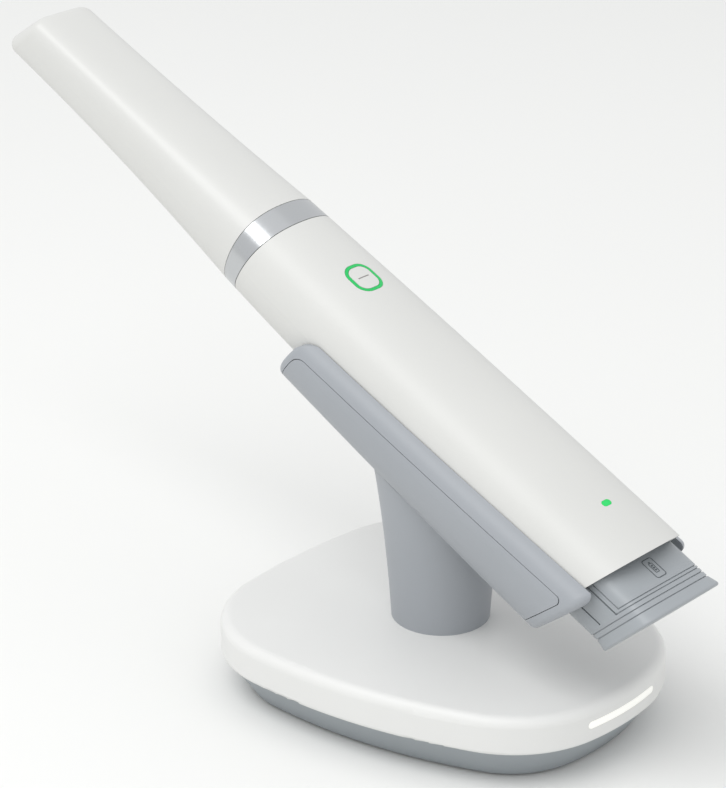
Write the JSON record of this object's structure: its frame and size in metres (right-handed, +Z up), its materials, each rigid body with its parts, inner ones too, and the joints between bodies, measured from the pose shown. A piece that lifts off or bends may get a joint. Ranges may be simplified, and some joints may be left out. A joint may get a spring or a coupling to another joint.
{
  "type": "intraoral scanner",
  "caption": "Cordless handheld dental scanner with a slip-on tip and slide-out battery, resting in a slanted cradle on a weighted desk stand.",
  "frame": {"origin": "on the floor under the pillar's axis", "axes": "+X towards the wand's tail and the lit front of the foot, +Z up"},
  "size_m": [0.2559, 0.1066, 0.1732],
  "materials": {
    "shell_white": "satin moulded",
    "tip_white": "satin moulded",
    "cover_white": "satin moulded",
    "band_silver": "polished ring",
    "ring_green": "lit light guide",
    "status_green": "lit light guide",
    "cradle_grey": "fine matt",
    "battery_grey": "fine matt",
    "tray_grey": "fine matt",
    "light_bar": "lit diffuser",
    "mirror": "front surface mirror",
    "window_glass": "coated",
    "lens_black": "black barrel",
    "inner_black": "fine matt",
    "seal_rubber": "smooth",
    "pad_rubber": "fine matt",
    "board": "solder mask",
    "chassis": "machined",
    "steel": "plain",
    "contact_gold": "plated",
    "cell": "shrink sleeve"
  },
  "bodies": {
    "stand_and_wand": {"handle_shell": "shell_white", "handle_belly": "shell_white", "base_cover": "cover_white", "accent_band": "band_silver", "button_light_ring": "ring_green", "status_light": "status_green", "cradle_tray": "cradle_grey", "cradle_keel": "cradle_grey", "pillar": "cradle_grey", "base_tray": "tray_grey", "base_light_bar": "light_bar", "front_window": "window_glass", "projector_lens": "lens_black", "camera_left": "lens_black", "camera_right": "lens_black", "nose_barrel": "inner_black", "battery_bay": "inner_black", "contact_block": "inner_black", "button_switch": "inner_black", "nose_seal": "seal_rubber", "base_pad": "pad_rubber", "main_board": "board", "status_board": "board", "light_board": "board", "power_board": "board", "optics_block": "chassis", "light_engine": "chassis", "belly_screws": "steel", "cradle_screws": "steel", "pillar_bolt": "steel", "base_screws": "steel", "ballast_plate": "steel", "power_inlet": "steel", "contact_pins": "contact_gold"},
    "tip": {"tip_sleeve": "tip_white", "tip_mirror": "mirror"},
    "battery": {"battery_case": "battery_grey", "battery_end_cap": "battery_grey", "battery_cells": "cell", "battery_contacts": "contact_gold"},
    "button": {"button_cap": "shell_white"}
  },
  "joints": [
    {"name": "tip_pull", "type": "slide", "parent": "stand_and_wand", "child": "tip", "axis": [-0.9048, 0, 0.4258], "range_m": [0, 0.05]},
    {"name": "battery_slide", "type": "slide", "parent": "stand_and_wand", "child": "battery", "axis": [0.9048, 0, -0.4258], "range_m": [0, 0.065]},
    {"name": "button_press", "type": "slide", "parent": "stand_and_wand", "child": "button", "axis": [-0.4258, 0, -0.9048], "range_m": [0, 0.0005], "stiffness_N_per_m": 2000}
  ]
}
